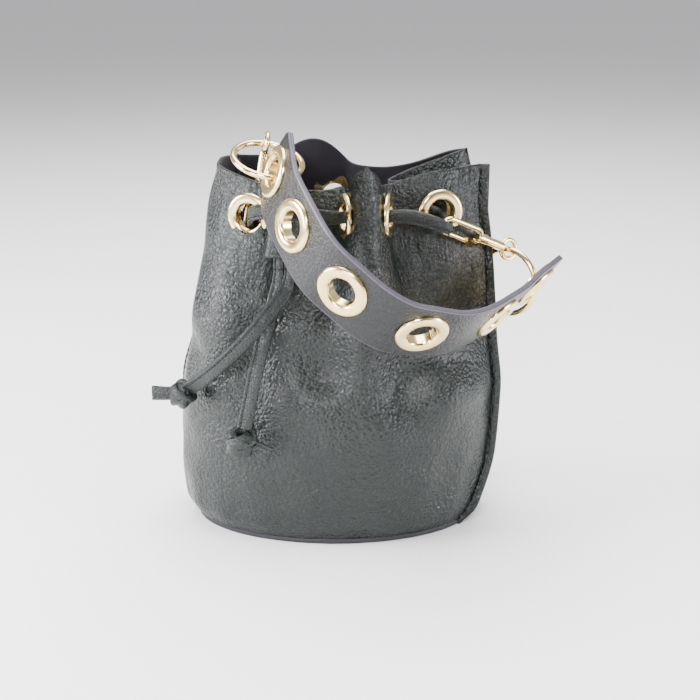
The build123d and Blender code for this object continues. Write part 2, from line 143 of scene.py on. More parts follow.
# Soft dents and swells of the leather: x, z, half width, half height, depth (out is positive), front only.
DENTS = [(-72.0, 130.0, 22.0, 20.0, 5.0), (-26.0, 130.0, 17.0, 13.0, 4.8), (-52.0, 98.0, 11.0, 30.0, -4.0),
         (-10.0, 104.0, 16.0, 15.0, -5.4), (10.0, 122.0, 10.0, 22.0, 5.0), (34.0, 102.0, 13.0, 19.0, -7.4),
         (62.0, 86.0, 17.0, 15.0, 6.0), (10.0, 68.0, 34.0, 16.0, 2.6), (-50.0, 152.0, 12.0, 12.0, -3.0),
         (-30.0, 158.0, 8.0, 20.0, -2.6), (68.0, 138.0, 9.0, 20.0, -2.8), (-6.0, 152.0, 7.0, 22.0, -4.0),
         (50.0, 122.0, 15.0, 11.0, 3.0), (-60.0, 60.0, 30.0, 22.0, 2.2), (14.0, 178.0, 6.0, 34.0, 1.6)]


WAVE_SIZES = (0.6, 1.6)


def wave_noise(x, y, seed, count):
    """Smooth noise about zero with unit scale, from summed waves."""
    local = np.random.default_rng(seed)
    total = np.zeros(np.broadcast(x, y).shape)
    for _ in range(count):
        turn, size, phase = local.uniform(0, 2 * math.pi), local.uniform(*WAVE_SIZES), local.uniform(0, 6.28)
        total += np.sin((x * math.cos(turn) + y * math.sin(turn)) * size * 2 * math.pi + phase)
    return total / math.sqrt(count)


def bump(value, centre, half):
    return np.exp(-((value - centre) / half) ** 2)


def body_points(shares, rows):
    """Grid of outer surface points in mm, rows from the base to the cut edge, with crease strength."""
    s, v = np.meshgrid(shares, rows)
    rim = rim_curve(shares)[:, 0][None, :]
    # Rows follow the cut edge only near it.
    z = v * MEAN_RIM + (rim - MEAN_RIM) * np.clip((v - 0.55) / 0.45, 0, 1) ** 1.5
    mouth = mouth_curve(shares)
    ahead, behind = mouth_curve(shares + 1e-4), mouth_curve(shares - 1e-4)
    along = ahead - behind
    along /= np.linalg.norm(along, axis=1)[:, None]
    out_x, out_y = -along[:, 1][None, :], along[:, 0][None, :]
    share, reach = table(z, LEVELS, SHARE), table(z, LEVELS, REACH)
    from_right_seam = np.abs((s + 0.5) % 1 - 0.5) * GIRTH
    reach = np.where(reach < 0, reach * np.clip(from_right_seam / 14.0 - 0.2, 0, 1), reach)
    turn = np.radians(SEAM_START - 16.0 * np.clip(1 - z / 70.0, 0, 1) ** 2 - 360.0 * s)
    low_x = table(z, LEVELS, CENTRE) + table(z, LEVELS, HALF_WIDTH) * np.cos(turn)
    low_y = table(z, LEVELS, HALF_DEPTH) * np.sin(turn)
    x = share * (mouth[:, 0][None, :] + out_x * reach * share) + (1 - share) * low_x
    y = share * (mouth[:, 1][None, :] + out_y * reach * share) + (1 - share) * low_y
    points = np.stack([x, y, z], -1)
    normal = surface_normals(points)
    front = np.clip(-normal[..., 1] * 2 + 0.2, 0, 1)
    move = np.zeros_like(x)
    for cx, cz, wide, high, depth in DENTS:
        move += depth * bump(x, cx, wide) * bump(z, cz, high) * front
    back = 1 - front
    girth = s * GIRTH
    move += back * 1.3 * wave_noise(girth / 60, z / 60, 3, 14)
    move += front * 0.5 * wave_noise(girth / 34, z / 40, 5, 16)
    # Creases hang down from where the lace draws the mouth in.
    gather = np.clip((z - 118) / 60, 0, 1) * np.clip((226 - z) / 30, 0, 1)
    streak = wave_noise(girth / 7.5, z / 70, 11, 30)
    fine = wave_noise(girth / 3.6, z / 26, 12, 30)
    right_of_fold = bump(x, 38, 13) * np.clip((z - 100) / 60, 0, 1) * front
    left_gather = bump(x, -34, 16) * bump(z, 165, 24) * front
    crease = gather * (0.25 + 0.75 * np.clip(right_of_fold + left_gather, 0, 1)) * (front + 0.6 * back)
    seat = np.zeros_like(x)
    for ex, ey, _ in EYELETS.values():
        near = np.sqrt((x - ex) ** 2 + (y - ey) ** 2 + (z - EYELET_Z) ** 2)
        seat = np.maximum(seat, np.clip((SEAT_RADIUS - near) / SEAT_FADE, 0, 1))
    calm = 1 - seat
    move = move * calm + calm * crease * (0.34 * streak + 0.13 * fine)
    flat_rows = np.clip(z / 8.0, 0, 1)
    seam_gap = np.minimum(np.abs((s + 0.5) % 1 - 0.5), np.abs(s - LEFT_SEAM)) * GIRTH
    move *= flat_rows * np.clip(seam_gap / 8.0, 0, 1)
    return points + normal * move[..., None], crease * calm, girth


def surface_normals(points):
    across = np.gradient(points, axis=1)
    up = np.gradient(points, axis=0)
    normal = np.cross(up, across)
    return normal / (np.linalg.norm(normal, axis=2)[..., None] + 1e-9)


# ---- Mesh helpers ----
def make_mesh(name, verts, faces, materials, indices=None, smooth=True, uv=None):
    mesh = bpy.data.meshes.new(name)
    mesh.from_pydata([tuple(p) for p in np.asarray(verts) * MM], [], [tuple(f) for f in faces])
    for material in materials:
        mesh.materials.append(material)
    if indices is not None:
        mesh.polygons.foreach_set("material_index", np.asarray(indices, np.int32))
    mesh.polygons.foreach_set("use_smooth", [smooth] * len(mesh.polygons))
    if uv is not None:
        layer = mesh.uv_layers.new(name="surface")
        loops = np.zeros(len(mesh.loops), np.int32)
        mesh.loops.foreach_get("vertex_index", loops)
        layer.data.foreach_set("uv", (np.asarray(uv)[loops] * MM).ravel())
    mesh.update()
    piece = bpy.data.objects.new(name, mesh)
    bpy.context.scene.collection.objects.link(piece)
    return piece


def grid_faces(rows, columns, start=0, flip=False, wrap=False):
    faces = []
    last = columns if wrap else columns - 1
    for r in range(rows - 1):
        for c in range(last):
            n = (c + 1) % columns
            quad = (start + r * columns + c, start + r * columns + n,
                    start + (r + 1) * columns + n, start + (r + 1) * columns + c)
            faces.append(quad[::-1] if flip else quad)
    return faces


def set_attribute(piece, name, values):
    attribute = piece.data.attributes.new(name, "FLOAT", "POINT")
    attribute.data.foreach_set("value", np.asarray(values, np.float32).ravel())


# ---- Materials ----
class Nodes:
    """Small helper that builds a material's nodes."""

    def __init__(self, name):
        self.material = bpy.data.materials.new(name)
        self.material.use_nodes = True
        self.tree = self.material.node_tree
        self.shader = self.tree.nodes["Principled BSDF"]
        self.coords = self.add("ShaderNodeTexCoord").outputs["Object"]

    def add(self, kind, **settings):
        node = self.tree.nodes.new(kind)
        for key, value in settings.items():
            setattr(node, key, value)
        return node

    def link(self, a, b):
        self.tree.links.new(a, b)

    def noise(self, scale, detail, roughness=0.5):
        node = self.add("ShaderNodeTexNoise")
        node.inputs["Scale"].default_value = scale
        node.inputs["Detail"].default_value = detail
        node.inputs["Roughness"].default_value = roughness
        self.link(self.coords, node.inputs["Vector"])
        return node.outputs["Fac"]

    def cells(self, scale, feature, vector, smooth=None):
        node = self.add("ShaderNodeTexVoronoi", feature=feature)
        node.inputs["Scale"].default_value = scale
        if smooth is not None:
            node.inputs["Smoothness"].default_value = smooth
        self.link(vector, node.inputs["Vector"])
        return node.outputs["Distance"]

    def math(self, operation, a, b=None):
        node = self.add("ShaderNodeMath", operation=operation)
        for socket, value in zip(node.inputs, (a, b)):
            if value is None:
                continue
            if isinstance(value, (int, float)):
                socket.default_value = value
            else:
                self.link(value, socket)
        return node.outputs[0]

    def ramp(self, value, low, high, to_low=0.0, to_high=1.0):
        node = self.add("ShaderNodeMapRange", clamp=True)
        self.link(value, node.inputs["Value"])
        for name, number in (("From Min", low), ("From Max", high), ("To Min", to_low), ("To Max", to_high)):
            node.inputs[name].default_value = number
        return node.outputs[0]

    def mix(self, factor, a, b):
        node = self.add("ShaderNodeMix", data_type="RGBA")
        for socket, value in zip((node.inputs[0], node.inputs[6], node.inputs[7]), (factor, a, b)):
            if isinstance(value, (int, float)):
                socket.default_value = value
            elif isinstance(value, tuple):
                socket.default_value = (*value, 1.0)
            else:
                self.link(value, socket)
        return node.outputs[2]

    def warp(self, scale, amount):
        """Object coordinates pushed about by noise, so that cells are uneven."""
        node = self.add("ShaderNodeTexNoise")
        node.inputs["Scale"].default_value = scale
        node.inputs["Detail"].default_value = 2.0
        self.link(self.coords, node.inputs["Vector"])
        shift = self.add("ShaderNodeVectorMath", operation="MULTIPLY_ADD")
        self.link(node.outputs["Color"], shift.inputs[0])
        shift.inputs[1].default_value = (amount, amount, amount)
        self.link(self.coords, shift.inputs[2])
        return shift.outputs[0]

    def bump(self, height, distance, strength=1.0):
        node = self.add("ShaderNodeBump")
        node.inputs["Strength"].default_value = strength
        node.inputs["Distance"].default_value = distance
        self.link(height, node.inputs["Height"])
        return node.outputs[0]

    def finish(self, color, roughness, normal=None, metallic=0.0, specular=0.5, sheen=0.0, coat=0.0,
               coat_rough=0.3):
        s = self.shader.inputs
        for socket, value in ((s["Base Color"], color), (s["Roughness"], roughness)):
            if isinstance(value, tuple):
                socket.default_value = (*value, 1.0)
            elif isinstance(value, (int, float)):
                socket.default_value = value
            else:
                self.link(value, socket)
        s["Metallic"].default_value = metallic
        s["Specular IOR Level"].default_value = specular
        s["Sheen Weight"].default_value = sheen
        s["Sheen Roughness"].default_value = 0.5
        s["Coat Weight"].default_value = coat
        s["Coat Roughness"].default_value = coat_rough
        if normal is not None:
            self.link(normal, s["Normal"])
        return self.material


def pebbled_leather(name, tone, scale=440.0, depth=0.00062, creased=True, roughness=0.34):
    """Pebble grain: uneven domed cells parted by valleys, drifting in gloss, creased where gathered, with
    painted shade in the valleys and a painted highlight on each pebble's top.
    """
    n = Nodes(name)
    uneven = n.warp(150.0, 0.0028)
    dome = n.cells(scale, "SMOOTH_F1", uneven, 0.55)
    small = n.cells(scale * 2.3, "SMOOTH_F1", uneven, 0.4)
    edge = n.cells(scale, "DISTANCE_TO_EDGE", uneven)
    patch = n.noise(24.0, 3.0)
    fine = n.noise(2300.0, 2.0)
    swell = n.noise(150.0, 3.0)
    height = n.math("MULTIPLY", dome, -1.05)
    height = n.math("SUBTRACT", height, n.math("MULTIPLY", small, 0.34))
    height = n.math("ADD", height, n.math("MULTIPLY", n.ramp(edge, 0.0, 0.22), 0.16))
    height = n.math("ADD", height, n.math("MULTIPLY", fine, 0.07))
    height = n.math("ADD", height, n.math("MULTIPLY", swell, 0.25))
    if creased:
        strength = n.add("ShaderNodeAttribute", attribute_name="crease").outputs["Fac"]
        uv = n.add("ShaderNodeUVMap", uv_map="surface").outputs[0]
        squeeze = n.add("ShaderNodeMapping")
        squeeze.inputs["Scale"].default_value = (330.0, 62.0, 1.0)
        n.link(uv, squeeze.inputs["Vector"])
        lines = n.add("ShaderNodeTexNoise")
        lines.inputs["Scale"].default_value = 1.0
        lines.inputs["Detail"].default_value = 4.0
        lines.inputs["Distortion"].default_value = 0.6
        n.link(squeeze.outputs[0], lines.inputs["Vector"])
        ridged = n.math("ABSOLUTE", n.math("SUBTRACT", lines.outputs["Fac"], 0.5))
        ridged = n.ramp(ridged, 0.0, 0.16)
        wrinkle = n.math("MULTIPLY", ridged, n.math("MULTIPLY", strength, 1.2))
        height = n.math("ADD", height, wrinkle)
    normal = n.bump(height, depth)
    color = n.mix(n.ramp(patch, 0.36, 0.66), tuple(c * 0.82 for c in tone), tuple(c * 1.3 for c in tone))
    # Painted shade: the colour darkens in the narrow valleys between the pebbles, where shade falls.
    color = n.mix(n.ramp(edge, 0.0, 0.09, 0.45, 0.0), color, tuple(c * 0.35 for c in tone))
    # Painted highlight: the middle of each pebble is lighter, standing in for light on its domed top.
    color = n.mix(n.ramp(dome, 0.0, 0.3, 0.35, 0.0), color, tuple(c * 1.8 + 0.002 for c in tone))
    rough = n.ramp(patch, 0.3, 0.7, roughness + 0.05, roughness - 0.05)
    return n.finish(color, rough, normal, specular=0.40, coat=0.07, coat_rough=0.26)


def suede(name, tone):
    n = Nodes(name)
    fibre = n.noise(1500.0, 6.0, 0.75)
    nap = n.noise(60.0, 4.0)
    color = n.mix(n.ramp(nap, 0.3, 0.7), tuple(c * 0.7 for c in tone), tuple(c * 1.5 for c in tone))
    color = n.mix(n.ramp(fibre, 0.35, 0.7), color, tuple(c * 1.9 for c in tone))
    return n.finish(color, 0.95, n.bump(fibre, 0.0003), specular=0.2, sheen=0.25)


def cut_edge(name, tone, glossy=0.6):
    """Raw or painted edge: fibres lie along it."""
    n = Nodes(name)
    fibre = n.noise(900.0, 5.0, 0.7)
    patch = n.noise(90.0, 3.0)
    color = n.mix(n.ramp(fibre, 0.3, 0.7), tuple(c * 0.7 for c in tone), tuple(c * 1.3 for c in tone))
    color = n.mix(n.ramp(patch, 0.35, 0.7, 0.0, 0.5), color, tuple(c * 1.5 for c in tone))
    return n.finish(color, glossy, n.bump(fibre, 0.00018), specular=0.45)


def gold(name, roughness=0.14):
    """Pale gold plate with faint hairlines and handling marks."""
    n = Nodes(name)
    brush = n.noise(1400.0, 3.0)
    smudge = n.noise(140.0, 4.0)
    color = n.mix(n.ramp(smudge, 0.3, 0.72), (0.96, 0.70, 0.27), (1.0, 0.84, 0.48))
    rough = n.ramp(smudge, 0.3, 0.75, roughness, roughness + 0.13)
    return n.finish(color, rough, n.bump(brush, 0.00002, 0.6), metallic=1.0)


def thread_material(name, tone):
    n = Nodes(name)
    twist = n.add("ShaderNodeTexWave", wave_type="BANDS", bands_direction="DIAGONAL")
    twist.inputs["Scale"].default_value = 700.0
    twist.inputs["Distortion"].default_value = 1.5
    n.link(n.coords, twist.inputs["Vector"])
    color = n.mix(twist.outputs["Fac"], tuple(c * 0.6 for c in tone), tuple(c * 1.5 for c in tone))
    return n.finish(color, 0.7, n.bump(twist.outputs["Fac"], 0.00008), specular=0.4)


GREEN = (0.0026, 0.0060, 0.0043)
body_leather = pebbled_leather("body leather", GREEN)
plain_leather = pebbled_leather("base leather", GREEN, creased=False)
lace_leather = pebbled_leather("lace leather", (0.0048, 0.0088, 0.0070), 820.0, 0.0004, False, 0.36)
inner_suede = suede("inner suede", (0.006, 0.005, 0.007))
strap_face = pebbled_leather("strap leather", (0.0035, 0.0045, 0.0043), 640.0, 0.00034, False, 0.36)
strap_paint = cut_edge("strap painted edge", (0.060, 0.050, 0.070), 0.36)
raw_edge = cut_edge("raw leather edge", (0.016, 0.015, 0.018), 0.6)
gold_plate = gold("gold plate")
gold_ring = gold("gold ring plate", 0.10)
thread = thread_material("dark thread", (0.012, 0.015, 0.015))


# ---- Bag panels ----
ROWS = 172
rows = np.linspace(0.0, 1.0, ROWS)


def bag_panel(name, shares, node):
    """Leather wall with an outer grain face, an inner suede face and a cut edge between them."""
    outer, crease, girth = body_points(shares, rows)
    normal = surface_normals(outer)
    inner = outer - normal * LEATHER
    r, c = outer.shape[:2]
    verts = np.concatenate([outer.reshape(-1, 3), inner.reshape(-1, 3)])
    uv = np.concatenate([np.stack([girth, outer[..., 2]], -1).reshape(-1, 2)] * 2)
    count = r * c
    outside = grid_faces(r, c)
    inside = grid_faces(r, c, count, flip=True)
    top = [((r - 1) * c + i, (r - 1) * c + i + 1, count + (r - 1) * c + i + 1, count + (r - 1) * c + i)
           for i in range(c - 1)]
    bottom = [(i + 1, i, count + i, count + i + 1) for i in range(c - 1)]
    sides = []
    for column, flip in ((0, False), (c - 1, True)):
        for i in range(r - 1):
            a, b = i * c + column, (i + 1) * c + column
            quad = (a, b, count + b, count + a)
            sides.append(quad[::-1] if flip else quad)
    faces = outside + inside + top + bottom + sides
    index = [0] * len(outside) + [1] * len(inside) + [2] * (len(top) + len(bottom) + len(sides))
    materials = [body_leather, inner_suede, raw_edge]
    piece = make_mesh(name, verts, [f[::-1] for f in faces], materials, index, uv=uv)
    set_attribute(piece, "crease", np.concatenate([crease.ravel(), np.zeros(count)]))
    cut_holes(piece)
    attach(piece, "bag")
    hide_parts(node)


def cut_holes(piece):
    """Punch the eyelets' holes through a panel by removing what lies inside their barrels."""
    work = bmesh.new()
    work.from_mesh(piece.data)
    gone = []
    for face in work.faces:
        centre = face.calc_center_median() / MM
        for x, y, yaw in EYELETS.values():
            out = Vector((math.sin(math.radians(yaw)), -math.cos(math.radians(yaw)), 0))
            offset = centre - Vector((x, y, EYELET_Z))
            depth = offset.dot(out)
            if abs(depth) < HOLE_REACH and (offset - out * depth).length < HOLE_RADIUS:
                gone.append(face)
                break
    bmesh.ops.delete(work, geom=gone, context="FACES")
    work.to_mesh(piece.data)
    work.free()


bag_panel("front_wall", np.linspace(0.0, LEFT_SEAM, 276), "front_panel")
bag_panel("back_wall", np.linspace(LEFT_SEAM, 1.0, 236), "back_panel")


# ---- Stitches: short thread capsules ----
def capsules(name, stitches, radius, body):
    """One mesh of stitches, each from a to b, thinner at its ends."""
    verts, faces = [], []
    around, rings = 8, 5
    for a, b in stitches:
        a, b = np.asarray(a, float), np.asarray(b, float)
        line = b - a
        length = np.linalg.norm(line)
        line /= length
        side = np.cross(line, (0.3, 0.5, 0.81))
        side /= np.linalg.norm(side)
        other = np.cross(line, side)
        start = len(verts)
        for k in range(rings):
            t = k / (rings - 1)
            swell = radius * math.sin(math.pi * (0.12 + 0.76 * t)) ** 0.5
            for j in range(around):
                turn = 2 * math.pi * j / around
                verts.append(a + line * length * t + (side * math.cos(turn) + other * math.sin(turn)) * swell)
        faces += grid_faces(rings, around, start, wrap=True)
        faces.append(tuple(start + j for j in range(around))[::-1])
        faces.append(tuple(start + (rings - 1) * around + j for j in range(around)))
    piece = make_mesh(name, verts, faces, [thread])
    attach(piece, body)


# ---- Side seams: the two panels' edges turned out and sewn flat ----
FIN = 5.2
FIN_HALF = 1.55
STITCH_PITCH = 3.6


def side_seam(name, share, turn):
    """Fin of leather along a seam, turned out towards an angle in plan, stitched on both of its faces."""
    line, _, _ = body_points(np.array([share - 0.002, share, share + 0.002]) if share else
                             np.array([0.998, 0.0, 0.002]), rows)
    edge = line[:, 1]
    out = np.array([math.cos(math.radians(turn)), math.sin(math.radians(turn)), 0.0])
    side = np.array([-out[1], out[0], 0.0])
    wobble = 0.35 * np.sin(edge[:, 2] / 17.0) + 0.2 * np.sin(edge[:, 2] / 6.3)
    profile = [(-2.0, -1), (FIN - 0.5, -1), (FIN - 0.1, -0.75), (FIN, -0.12), (FIN - 0.35, 0.0), (FIN, 0.12),
               (FIN - 0.1, 0.75), (FIN - 0.5, 1), (-2.0, 1)]
    verts = []
    for k, point in enumerate(edge):
        narrow = min(1.0, 0.45 + edge[k, 2] / 14.0)
        for reach, half in profile:
            sideways = half * FIN_HALF + wobble[k] * max(reach, 0) / FIN
            verts.append(point + out * reach * narrow + side * sideways)
    count = len(profile)
    faces = grid_faces(len(edge), count, wrap=True)
    index = [1 if 1 <= (i % count) <= 6 else 0 for i in range(len(faces))]
    faces += [tuple(range(count))[::-1], tuple((len(edge) - 1) * count + i for i in range(count))]
    index += [1, 1]
    piece = make_mesh(name, verts, faces, [plain_leather, raw_edge], index)
    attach(piece, "bag")
    stitches = []
    heights = edge[:, 2]
    for z in np.arange(8.0, heights[-1] - 2.0, STITCH_PITCH):
        ends = [np.array([np.interp(h, heights, edge[:, i]) for i in range(3)]) for h in (z, z + 2.5)]
        for face in (-1, 1):
            lift = side * face * (FIN_HALF + 0.12) + out * (FIN - 3.3)
            stitches.append((ends[0] + lift, ends[1] + lift))
    capsules(name + "_thread", stitches, 0.42, "bag")


side_seam("right_side_seam", 0.0, -10.0)
side_seam("left_side_seam", LEFT_SEAM, 112.0)


def base_welt():
    """Raw edges of the walls and the base, sewn together round the bottom."""
    shares = np.linspace(0, 1, 260, endpoint=False)
    ring, _, _ = body_points(shares, np.array([0.0, 0.012, 0.024]))
    low = ring[0]
    out = low[:, :2] - np.array([-4.0, 0.0])
    out /= np.linalg.norm(out, axis=1)[:, None]
    profile = [(-1.5, 0.0), (1.1, 0.0), (1.5, 0.5), (1.35, 1.3), (1.5, 2.1), (1.1, 2.9), (-0.6, 3.4)]
    verts = [(x + o[0] * r, y + o[1] * r, h) for (x, y, _), o in zip(low, out) for r, h in profile]
    count = len(profile)
    faces = grid_faces(len(shares), count)
    last = (len(shares) - 1) * count
    faces += [(last + i, last + i + 1, i + 1, i) for i in range(count - 1)]
    piece = make_mesh("base_seam", verts, faces, [raw_edge])
    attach(piece, "bag")


base_welt()


# ---- Lace ----
LACE_WIDTH, LACE_THICK = 8.4, 3.0


def smooth_route(name, route):
    """Even points along the smooth line whose control points are the route, and how far along each is."""
    data = bpy.data.curves.new(name, "CURVE")
    data.dimensions = "3D"
    spline = data.splines.new("NURBS")
    spline.points.add(len(route) - 1)
    for point, place in zip(spline.points, route):
        point.co = (*[v * MM for v in place], 1.0)
    spline.order_u = 3
    spline.use_endpoint_u = True
    spline.resolution_u = 12
    holder = bpy.data.objects.new(name, data)
    bpy.context.scene.collection.objects.link(holder)
    bpy.context.view_layer.update()
    mesh = bpy.data.meshes.new_from_object(holder)
    line = np.array([v.co for v in mesh.vertices]) / MM
    bpy.data.objects.remove(holder)
    bpy.data.meshes.remove(mesh)
    steps_along = np.concatenate([[0], np.cumsum(np.linalg.norm(np.diff(line, axis=0), axis=1))])
    even = np.arange(0, steps_along[-1], 0.8)
    even = np.append(even, steps_along[-1])
    return np.stack([np.interp(even, steps_along, line[:, i]) for i in range(3)], -1), even


# Section of the folded lace, in shares of its width and thickness. The groove is its stitch line.
LACE_PROFILE = [
    (-0.50, -0.10), (-0.46, -0.42), (-0.34, -0.50), (-0.27, -0.30), (-0.20, -0.50), (0.2, -0.53),
    (0.42, -0.46), (0.50, -0.2), (0.50, 0.2), (0.42, 0.46), (0.2, 0.53), (-0.20, 0.50),
    (-0.27, 0.30), (-0.34, 0.50), (-0.46, 0.42), (-0.50, 0.10), (-0.46, 0.0),
]


def lace_mesh(name, line, widths, body, nodes, size):
    """Folded flat lace along a line, from the direction and the share of its width at each point."""
    tangent = np.gradient(line, axis=0)
    tangent /= np.linalg.norm(tangent, axis=1)[:, None]
    across = widths - tangent * (widths * tangent).sum(1)[:, None]
    for _ in range(10):
        across[1:-1] = (across[:-2] + across[1:-1] * 2 + across[2:]) / 4
    across -= tangent * (across * tangent).sum(1)[:, None]
    across /= np.linalg.norm(across, axis=1)[:, None]
    facing_out = np.cross(tangent, across)
    verts = []
    for p, a, f, s in zip(line, across, facing_out, size):
        for w, t in LACE_PROFILE:
            verts.append(p + a * w * LACE_WIDTH * s + f * t * LACE_THICK * (0.55 + 0.45 / s))
    count = len(LACE_PROFILE)
    faces = grid_faces(len(line), count, wrap=True)
    faces += [tuple(range(count))[::-1], tuple((len(line) - 1) * count + i for i in range(count))]
    raw_columns = (count - 1, count - 2, 0)
    index = [1 if (i % count) in raw_columns else 0 for i in range(len(faces) - 2)] + [1, 1]
    piece = make_mesh(name, verts, faces, [lace_leather, raw_edge], index)
    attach(piece, body)
    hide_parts(*nodes)
    stitches = []
    for k in range(3, len(line) - 4, 3):
        for face in (-1, 1):
            lift = across[k] * -0.27 * LACE_WIDTH * size[k] + facing_out[k] * face * LACE_THICK * 0.42
            stitches.append((line[k] + lift, line[k] + lift + tangent[k] * 1.7))
    capsules(name + "_thread", stitches, 0.42, body)
    return piece


SLIDER_TOP = np.array([-32.0, -42.5, 193.0])
SLIDER_DOWN = np.array([0.0, -0.17, -0.985]) / math.hypot(0.17, 0.985)


def beside(distance, side):
    """Point down the slider's axis, to one side of it, where one of the two ends of the lace runs."""
    return tuple(SLIDER_TOP + SLIDER_DOWN * distance + np.array([side * 2.9, 0, 0]))


LACE_ROUTE = [
    beside(30, -1), beside(0, -1), (-42.5, -40.5, 194.2), (-50.5, -36.0, 192.5), (-51.5, -28.0, 187.5),
    (-51.3, -20.0, 182.3), (-52.0, -11.5, 178.5), (-57.0, -1.0, 180.0), (-57.0, 11.0, 184.5),
    (-46.0, 19.0, 188.5), (-24.0, 27.0, 189.0), (-8.0, 34.0, 189.0), (-4.5, 45.0, 189.0), (6.0, 51.0, 189.0),
    (23.0, 48.5, 189.0), (34.0, 39.5, 189.0), (34.0, 27.0, 188.5), (27.0, 16.0, 187.5), (22.0, 5.0, 187.0),
    (29.0, -5.5, 187.5), (44.0, -8.0, 188.5), (55.5, -11.5, 187.8), (58.0, -20.6, 185.4),
    (61.2, -32.4, 181.8), (54.0, -37.4, 186.2), (40.0, -31.5, 189.5), (25.0, -29.5, 189.5),
    (13.0, -28.0, 189.0), (0.0, -29.5, 188.5), (-9.0, -35.0, 189.5), (-17.0, -38.0, 191.5),
    (-24.0, -40.5, 195.5), beside(0, 1), beside(30, 1),
]
TAIL_OVER_ROUTE = [
    beside(30, 1), beside(40, 1), (-38.0, -60.5, 144.0), (-51.0, -65.5, 129.0), (-67.0, -60.5, 112.0),
    (-80.0, -49.5, 99.0), (-88.0, -40.5, 91.0),
]
TAIL_UNDER_ROUTE = [
    beside(30, -1), beside(40, -1), (-40.0, -55.0, 138.0), (-46.0, -60.5, 116.0), (-51.0, -63.5, 94.0),
    (-54.5, -64.0, 76.0),
]


HOOK_TURNS = ((-51.5, -17.0, 180.0), (-48.0, -14.0, 186.0), (61.0, -31.0, 182.0))
PINCH = 0.32  # how much narrower the lace is inside the slider and a hook
SLACK = 0.18  # how much narrower it is inside an eyelet


def make_laces():
    line, along = smooth_route("lace line", LACE_ROUTE)
    widths = np.zeros_like(line)
    widths[:, 2] = 1.0
    near = np.minimum(along, along[-1] - along)
    turned = np.clip((44.0 - near) / 14.0, 0, 1)[:, None]
    widths = widths * (1 - turned) + np.array([1.0, 0.0, 0.25]) * turned
    narrow = np.ones(len(line))
    for x, y, _ in EYELETS.values():
        gap = np.linalg.norm(line[:, :2] - np.array([x, y]), axis=1)
        narrow -= SLACK * np.exp(-(gap / 7.0) ** 2)
    for hook in HOOK_TURNS:
        narrow -= PINCH * np.exp(-(np.linalg.norm(line - np.array(hook), axis=1) / 9.0) ** 2)
    in_slider = np.clip((34.0 - near) / 8.0, 0, 1)
    narrow -= PINCH * in_slider
    lace_mesh("lace_round_mouth", line, widths, "bag", ["drawstring"], np.clip(narrow, 0.5, 1))
    for name, route, node, knot_node, width_dir in (
            ("lace_over", TAIL_OVER_ROUTE, "lace_tail_over", "knot_over", (0.64, 0.1, -0.62)),
            ("lace_under", TAIL_UNDER_ROUTE, "lace_tail_under", "knot_under", (1.0, -0.15, 0.1))):
        line, along = smooth_route(name + " line", route)
        turned = np.clip(along / 26.0, 0, 1)[:, None]
        widths = np.array([1.0, 0.0, 0.0]) * (1 - turned) + np.array(width_dir) * turned
        narrow = 1 - PINCH * np.clip((14.0 - along) / 12.0, 0, 1)
        piece = lace_mesh(name, line, widths, "bag", [node], narrow)
        knot = make_knot("knot_of_" + name, line[-1], line[-1] - line[-6], knot_node)


# Which way the cut end points out of each knot.
STUBS = {"knot_over": np.array([-1.0, 0.25, -0.05]), "knot_under": np.array([0.92, -0.2, -0.38])}


def band(centre, axis, toward, radius, squash, wide, thick, lean):
    """Flat band of lace round an axis: rings of a soft rectangular section. Returns its verts and faces."""
    axis = axis / np.linalg.norm(axis)
    a = toward - axis * toward.dot(axis)
    a /= np.linalg.norm(a)
    b = np.cross(axis, a)
    verts = []
    profile = [(-0.5, -0.25), (-0.42, -0.5), (0.42, -0.5), (0.5, -0.25),
               (0.5, 0.25), (0.42, 0.5), (-0.42, 0.5), (-0.5, 0.25)]
    around, count = 44, len(profile)
    for k in range(around):
        turn = 2 * math.pi * k / around
        out = a * math.cos(turn) + b * math.sin(turn) * squash
        middle = centre + out * radius + axis * lean * math.sin(turn)
        swell = 1 + 0.06 * math.sin(3 * turn)
        for w, t in profile:
            verts.append(middle + axis * w * wide * swell + out / np.linalg.norm(out) * t * thick)
    faces = grid_faces(around, count, wrap=True)
    last = (around - 1) * count
    faces += [(last + i, last + (i + 1) % count, (i + 1) % count, i) for i in range(count)]
    return verts, faces


def make_knot(name, end, heading, node):
    """Knot: three crossing wraps of the lace and a cut stub."""
    heading = heading / np.linalg.norm(heading)
    stub = STUBS[node] / np.linalg.norm(STUBS[node])
    centre = end + heading * 7.5
    verts, faces = [], []
    outward = np.array([0.0, -1.0, 0.15])
    wraps = [(heading, stub, 6.2, 0.74, 9.4, 3.6, 3.6),
             (stub + heading * 0.35, outward, 5.4, 0.92, 9.0, 3.4, -2.8),
             (heading * 0.8 - stub * 0.6, outward, 6.4, 0.70, 7.4, 3.2, 3.0)]
    for axis, toward, radius, squash_by, wide, thick, lean in wraps:
        more, quads = band(centre, axis, toward, radius, squash_by, wide, thick, lean)
        start = len(verts)
        verts += more
        faces += [tuple(start + i for i in quad) for quad in quads]
    face_out = outward - stub * outward.dot(stub)
    face_out /= np.linalg.norm(face_out)
    across = np.cross(stub, face_out)
    start = len(verts)
    stations = np.linspace(2.0, 18.0, 9)
    for k, reach in enumerate(stations):
        curl = 0.9 * math.sin(k / 8 * 2.2)
        for w, t in LACE_PROFILE:
            verts.append(centre + stub * reach + across * (w * LACE_WIDTH * (0.86 + 0.02 * k))
                         + face_out * (t * LACE_THICK + curl))
    count = len(LACE_PROFILE)
    faces += grid_faces(len(stations), count, start, wrap=True)
    faces.append(tuple(start + (len(stations) - 1) * count + i for i in range(count)))
    piece = make_mesh(name, verts, faces, [lace_leather])
    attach(piece, "bag")
    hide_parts(node)
    return piece


make_laces()


# ---- Slider ----
SLIDER_START, SLIDER_LENGTH, SLIDER_WALL = 2.0, 21.0, (1.7, 1.5)


